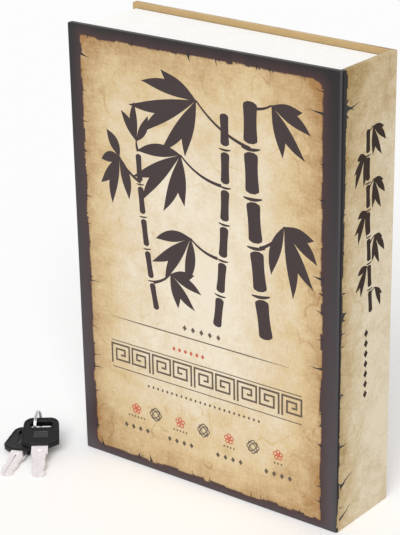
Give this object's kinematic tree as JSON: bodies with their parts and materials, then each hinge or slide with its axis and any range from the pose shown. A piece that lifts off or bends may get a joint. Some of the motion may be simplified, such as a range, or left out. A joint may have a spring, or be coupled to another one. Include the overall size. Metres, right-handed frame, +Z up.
{
  "type": "book diversion safe",
  "caption": "Hardback book that hides a hinged steel strongbox with a cam lock in a moulded page block, with its keys on a split ring.",
  "frame": {"origin": "middle of the back cover's tail edge, in the mid-plane of the back board, on the surface the book stands on", "axes": "+Z up along the spine, +Y out of the back cover, +X towards the spine, so the front cover faces -Y"},
  "size_m": [0.1957, 0.1036, 0.235],
  "materials": {
    "cover_paper": "printed and matt laminated case paper",
    "greyboard": "bare greyboard with cut grooves",
    "endpaper": "uncoated dark endpaper",
    "page_plastic": "moulded with fine leaf lines",
    "box_steel": "fine textured powder coat",
    "hinge_steel": "zinc plated",
    "lock_chrome": "bright plated",
    "lock_brass": "stamped",
    "key_nickel": "nickel plated",
    "key_plastic": "moulded, fine grain"
  },
  "bodies": {
    "safe_body": {"back_board": "greyboard", "back_cover_paper": "cover_paper", "back_endpaper": "endpaper", "page_block": "page_plastic", "strongbox_tray": "box_steel", "tray_hinge_leaf": "hinge_steel", "hinge_pin": "hinge_steel", "tray_screw_1": "hinge_steel", "tray_screw_2": "hinge_steel", "tray_screw_3": "hinge_steel", "tray_screw_4": "hinge_steel"},
    "spine": {"spine_board": "greyboard", "spine_paper": "cover_paper", "spine_lining": "endpaper"},
    "front_cover": {"front_board": "greyboard", "front_cover_paper": "cover_paper", "front_endpaper": "endpaper"},
    "lid": {"strongbox_lid": "box_steel", "lid_hinge_leaf": "hinge_steel", "lock_body": "lock_chrome", "lock_washer": "hinge_steel", "lock_nut": "hinge_steel"},
    "lock_core": {"lock_plug": "lock_chrome", "lock_wafer_1": "lock_brass", "lock_wafer_2": "lock_brass", "lock_wafer_3": "lock_brass", "lock_wafer_4": "lock_brass", "lock_wafer_5": "lock_brass", "lock_cam": "hinge_steel", "cam_washer": "hinge_steel", "cam_screw": "hinge_steel"},
    "key_ring": {"split_ring": "key_nickel"},
    "key_1": {"key_1_blade": "key_nickel", "key_1_head": "key_plastic"},
    "key_2": {"key_2_blade": "key_nickel", "key_2_head": "key_plastic"}
  },
  "joints": [
    {"name": "spine_hinge", "type": "hinge", "parent": "safe_body", "child": "spine", "pos_m": [0.0795, 0.00165, 0.1175], "axis": [0, 0, 1], "range_deg": [0, 90]},
    {"name": "front_cover_hinge", "type": "hinge", "parent": "spine", "child": "front_cover", "pos_m": [0.0795, -0.04285, 0.1175], "axis": [0, 0, 1], "range_deg": [-2.7, 177.3]},
    {"name": "lid_hinge", "type": "hinge", "parent": "safe_body", "child": "lid", "pos_m": [0.0594, -0.034, 0.1175], "axis": [0, 0, 1], "range_deg": [0, 99]},
    {"name": "lock_turn", "type": "hinge", "parent": "lid", "child": "lock_core", "pos_m": [-0.0395, -0.03, 0.1175], "axis": [0, -1, 0], "range_deg": [0, 90]},
    {"name": "keys_lift", "type": "slide", "parent": "safe_body", "child": "key_ring", "axis": [0, 0, 1], "range_m": [0, 0.1]},
    {"name": "key_1_swing", "type": "hinge", "parent": "key_ring", "child": "key_1", "pos_m": [-0.1035, -0.0647, 0.005], "axis": [0, 0, 1], "range_deg": [-20, 12]},
    {"name": "key_2_swing", "type": "hinge", "parent": "key_ring", "child": "key_2", "pos_m": [-0.103, -0.0656, 0.011], "axis": [0, 0, 1], "range_deg": [-12, 12]}
  ],
  "couplings": [
    {"joint": "lid_hinge", "follows": "spine_hinge", "ratio": 1.1}
  ]
}
